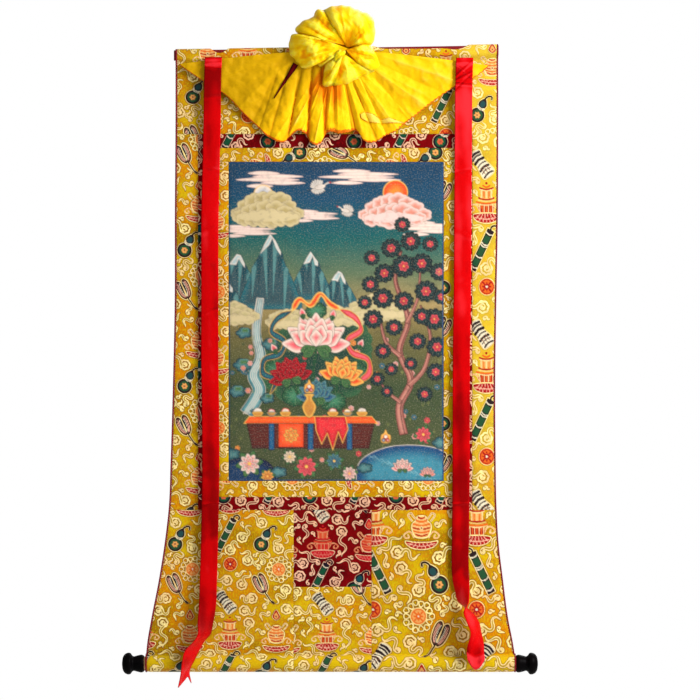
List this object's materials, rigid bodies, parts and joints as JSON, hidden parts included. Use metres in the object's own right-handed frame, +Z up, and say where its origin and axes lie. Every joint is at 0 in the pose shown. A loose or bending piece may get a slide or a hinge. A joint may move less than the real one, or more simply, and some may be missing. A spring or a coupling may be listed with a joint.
{
  "type": "thangka scroll painting with batten and roller",
  "caption": "Hanging scroll: a painted canvas framed in gold and maroon brocade on a batten and knobbed roller, with a gathered silk veil and satin ribbons.",
  "frame": {"origin": "middle of the top batten, the point that the scroll hangs from", "axes": "+Z up, -Y out of the wall towards the viewer, +X to the viewer's right"},
  "size_m": [0.5978, 0.0708, 0.9788],
  "materials": {
    "gold_brocade": "woven gold silk brocade with a cloud and emblem repeat",
    "maroon_brocade": "woven maroon silk brocade with the same repeat",
    "maroon_cloth": "plain maroon cotton",
    "painted_canvas": "painted cotton canvas, matte",
    "black_lacquer": "black lacquer",
    "bare_wood": "plain sanded wood",
    "yellow_silk": "thin yellow silk with a soft sheen",
    "red_satin": "red satin"
  },
  "bodies": {
    "root": {"top_batten": "maroon_cloth", "top_panel": "gold_brocade", "side_panel_left": "gold_brocade", "side_panel_right": "gold_brocade", "maroon_strip_top": "maroon_brocade", "maroon_strip_bottom": "maroon_brocade", "maroon_strip_left": "maroon_brocade", "maroon_strip_right": "maroon_brocade", "gold_strip_top": "gold_brocade", "gold_strip_bottom": "gold_brocade", "gold_strip_left": "gold_brocade", "gold_strip_right": "gold_brocade", "picture": "painted_canvas", "door_panel": "maroon_brocade", "skirt_left": "gold_brocade", "skirt_centre": "gold_brocade", "skirt_right": "gold_brocade", "edge_piping_left": "maroon_cloth", "edge_piping_right": "maroon_cloth", "bottom_roller": "bare_wood", "knob_left": "black_lacquer", "knob_right": "black_lacquer", "veil": "yellow_silk", "tie_tape": "maroon_cloth", "ribbon_left": "red_satin", "ribbon_right": "red_satin"}
  },
  "joints": []
}
